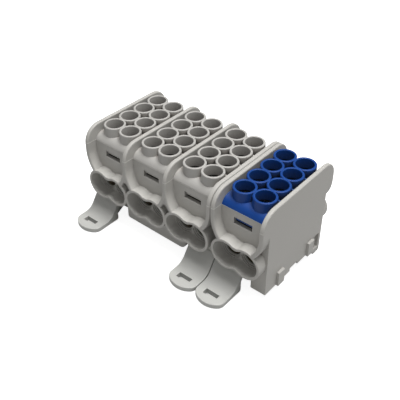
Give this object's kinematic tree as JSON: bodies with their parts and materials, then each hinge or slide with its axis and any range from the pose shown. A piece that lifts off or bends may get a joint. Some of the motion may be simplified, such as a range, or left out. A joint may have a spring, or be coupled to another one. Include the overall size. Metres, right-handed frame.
{
  "type": "power distribution block",
  "caption": "Feed-through power distribution block for a mounting rail: plate walls, blue neutral pole, screw funnels, paired cable entries and sliding rail latches.",
  "frame": {"origin": "on the rail seat, in the middle of the block's width and of the rail", "axes": "+X along the mounting rail from the grey end to the blue pole, +Y from the latches to the fixed hook, +Z away from the rail"},
  "size_m": [0.1053, 0.0686, 0.0502],
  "materials": {
    "grey_plastic": "light warm grey thermoplastic, finely textured, satin",
    "cover_plastic": "the same warm grey thermoplastic as the housings",
    "blue_plastic": "blue thermoplastic of the neutral pole, satin",
    "latch_plastic": "light grey thermoplastic, satin",
    "plated_bar": "drawn brass, dull and slightly tarnished",
    "screw_steel": "zinc-plated steel, slightly dulled"
  },
  "bodies": {
    "block": {"housing_three_pole": "grey_plastic", "housing_one_pole": "grey_plastic", "funnel_cover_1": "cover_plastic", "terminal_bar_1": "plated_bar", "funnel_cover_2": "cover_plastic", "terminal_bar_2": "plated_bar", "funnel_cover_3": "cover_plastic", "terminal_bar_3": "plated_bar", "funnel_cover_4": "blue_plastic", "terminal_bar_4": "plated_bar"},
    "latch_1": {"rail_latch_1": "latch_plastic"},
    "latch_2": {"rail_latch_2": "latch_plastic"},
    "latch_3": {"rail_latch_3": "latch_plastic"},
    "screw_1_left_1": {"clamp_screw_1_left_1": "screw_steel"},
    "screw_1_left_2": {"clamp_screw_1_left_2": "screw_steel"},
    "screw_1_left_3": {"clamp_screw_1_left_3": "screw_steel"},
    "screw_1_left_4": {"clamp_screw_1_left_4": "screw_steel"},
    "screw_1_right_1": {"clamp_screw_1_right_1": "screw_steel"},
    "screw_1_right_2": {"clamp_screw_1_right_2": "screw_steel"},
    "screw_1_right_3": {"clamp_screw_1_right_3": "screw_steel"},
    "screw_1_right_4": {"clamp_screw_1_right_4": "screw_steel"},
    "screw_2_left_1": {"clamp_screw_2_left_1": "screw_steel"},
    "screw_2_left_2": {"clamp_screw_2_left_2": "screw_steel"},
    "screw_2_left_3": {"clamp_screw_2_left_3": "screw_steel"},
    "screw_2_left_4": {"clamp_screw_2_left_4": "screw_steel"},
    "screw_2_right_1": {"clamp_screw_2_right_1": "screw_steel"},
    "screw_2_right_2": {"clamp_screw_2_right_2": "screw_steel"},
    "screw_2_right_3": {"clamp_screw_2_right_3": "screw_steel"},
    "screw_2_right_4": {"clamp_screw_2_right_4": "screw_steel"},
    "screw_3_left_1": {"clamp_screw_3_left_1": "screw_steel"},
    "screw_3_left_2": {"clamp_screw_3_left_2": "screw_steel"},
    "screw_3_left_3": {"clamp_screw_3_left_3": "screw_steel"},
    "screw_3_left_4": {"clamp_screw_3_left_4": "screw_steel"},
    "screw_3_right_1": {"clamp_screw_3_right_1": "screw_steel"},
    "screw_3_right_2": {"clamp_screw_3_right_2": "screw_steel"},
    "screw_3_right_3": {"clamp_screw_3_right_3": "screw_steel"},
    "screw_3_right_4": {"clamp_screw_3_right_4": "screw_steel"},
    "screw_4_left_1": {"clamp_screw_4_left_1": "screw_steel"},
    "screw_4_left_2": {"clamp_screw_4_left_2": "screw_steel"},
    "screw_4_left_3": {"clamp_screw_4_left_3": "screw_steel"},
    "screw_4_left_4": {"clamp_screw_4_left_4": "screw_steel"},
    "screw_4_right_1": {"clamp_screw_4_right_1": "screw_steel"},
    "screw_4_right_2": {"clamp_screw_4_right_2": "screw_steel"},
    "screw_4_right_3": {"clamp_screw_4_right_3": "screw_steel"},
    "screw_4_right_4": {"clamp_screw_4_right_4": "screw_steel"}
  },
  "joints": [
    {"name": "latch_1_slide", "type": "slide", "parent": "block", "child": "latch_1", "axis": [0, -1, 0], "range_m": [0, 0.0035], "stiffness_N_per_m": 1500, "springref_m": -0.001},
    {"name": "latch_2_slide", "type": "slide", "parent": "block", "child": "latch_2", "axis": [0, -1, 0], "range_m": [0, 0.0035], "stiffness_N_per_m": 1500, "springref_m": -0.001},
    {"name": "latch_3_slide", "type": "slide", "parent": "block", "child": "latch_3", "axis": [0, -1, 0], "range_m": [0, 0.0035], "stiffness_N_per_m": 1500, "springref_m": -0.001},
    {"name": "screw_1_left_1_drive", "type": "slide", "parent": "block", "child": "screw_1_left_1", "axis": [0, 0, -1], "range_m": [0, 0.0065]},
    {"name": "screw_1_left_2_drive", "type": "slide", "parent": "block", "child": "screw_1_left_2", "axis": [0, 0, -1], "range_m": [0, 0.0065]},
    {"name": "screw_1_left_3_drive", "type": "slide", "parent": "block", "child": "screw_1_left_3", "axis": [0, 0, -1], "range_m": [0, 0.0065]},
    {"name": "screw_1_left_4_drive", "type": "slide", "parent": "block", "child": "screw_1_left_4", "axis": [0, 0, -1], "range_m": [0, 0.0065]},
    {"name": "screw_1_right_1_drive", "type": "slide", "parent": "block", "child": "screw_1_right_1", "axis": [0, 0, -1], "range_m": [0, 0.0065]},
    {"name": "screw_1_right_2_drive", "type": "slide", "parent": "block", "child": "screw_1_right_2", "axis": [0, 0, -1], "range_m": [0, 0.0065]},
    {"name": "screw_1_right_3_drive", "type": "slide", "parent": "block", "child": "screw_1_right_3", "axis": [0, 0, -1], "range_m": [0, 0.0065]},
    {"name": "screw_1_right_4_drive", "type": "slide", "parent": "block", "child": "screw_1_right_4", "axis": [0, 0, -1], "range_m": [0, 0.0065]},
    {"name": "screw_2_left_1_drive", "type": "slide", "parent": "block", "child": "screw_2_left_1", "axis": [0, 0, -1], "range_m": [0, 0.0065]},
    {"name": "screw_2_left_2_drive", "type": "slide", "parent": "block", "child": "screw_2_left_2", "axis": [0, 0, -1], "range_m": [0, 0.0065]},
    {"name": "screw_2_left_3_drive", "type": "slide", "parent": "block", "child": "screw_2_left_3", "axis": [0, 0, -1], "range_m": [0, 0.0065]},
    {"name": "screw_2_left_4_drive", "type": "slide", "parent": "block", "child": "screw_2_left_4", "axis": [0, 0, -1], "range_m": [0, 0.0065]},
    {"name": "screw_2_right_1_drive", "type": "slide", "parent": "block", "child": "screw_2_right_1", "axis": [0, 0, -1], "range_m": [0, 0.0065]},
    {"name": "screw_2_right_2_drive", "type": "slide", "parent": "block", "child": "screw_2_right_2", "axis": [0, 0, -1], "range_m": [0, 0.0065]},
    {"name": "screw_2_right_3_drive", "type": "slide", "parent": "block", "child": "screw_2_right_3", "axis": [0, 0, -1], "range_m": [0, 0.0065]},
    {"name": "screw_2_right_4_drive", "type": "slide", "parent": "block", "child": "screw_2_right_4", "axis": [0, 0, -1], "range_m": [0, 0.0065]},
    {"name": "screw_3_left_1_drive", "type": "slide", "parent": "block", "child": "screw_3_left_1", "axis": [0, 0, -1], "range_m": [0, 0.0065]},
    {"name": "screw_3_left_2_drive", "type": "slide", "parent": "block", "child": "screw_3_left_2", "axis": [0, 0, -1], "range_m": [0, 0.0065]},
    {"name": "screw_3_left_3_drive", "type": "slide", "parent": "block", "child": "screw_3_left_3", "axis": [0, 0, -1], "range_m": [0, 0.0065]},
    {"name": "screw_3_left_4_drive", "type": "slide", "parent": "block", "child": "screw_3_left_4", "axis": [0, 0, -1], "range_m": [0, 0.0065]},
    {"name": "screw_3_right_1_drive", "type": "slide", "parent": "block", "child": "screw_3_right_1", "axis": [0, 0, -1], "range_m": [0, 0.0065]},
    {"name": "screw_3_right_2_drive", "type": "slide", "parent": "block", "child": "screw_3_right_2", "axis": [0, 0, -1], "range_m": [0, 0.0065]},
    {"name": "screw_3_right_3_drive", "type": "slide", "parent": "block", "child": "screw_3_right_3", "axis": [0, 0, -1], "range_m": [0, 0.0065]},
    {"name": "screw_3_right_4_drive", "type": "slide", "parent": "block", "child": "screw_3_right_4", "axis": [0, 0, -1], "range_m": [0, 0.0065]},
    {"name": "screw_4_left_1_drive", "type": "slide", "parent": "block", "child": "screw_4_left_1", "axis": [0, 0, -1], "range_m": [0, 0.0065]},
    {"name": "screw_4_left_2_drive", "type": "slide", "parent": "block", "child": "screw_4_left_2", "axis": [0, 0, -1], "range_m": [0, 0.0065]},
    {"name": "screw_4_left_3_drive", "type": "slide", "parent": "block", "child": "screw_4_left_3", "axis": [0, 0, -1], "range_m": [0, 0.0065]},
    {"name": "screw_4_left_4_drive", "type": "slide", "parent": "block", "child": "screw_4_left_4", "axis": [0, 0, -1], "range_m": [0, 0.0065]},
    {"name": "screw_4_right_1_drive", "type": "slide", "parent": "block", "child": "screw_4_right_1", "axis": [0, 0, -1], "range_m": [0, 0.0065]},
    {"name": "screw_4_right_2_drive", "type": "slide", "parent": "block", "child": "screw_4_right_2", "axis": [0, 0, -1], "range_m": [0, 0.0065]},
    {"name": "screw_4_right_3_drive", "type": "slide", "parent": "block", "child": "screw_4_right_3", "axis": [0, 0, -1], "range_m": [0, 0.0065]},
    {"name": "screw_4_right_4_drive", "type": "slide", "parent": "block", "child": "screw_4_right_4", "axis": [0, 0, -1], "range_m": [0, 0.0065]}
  ]
}
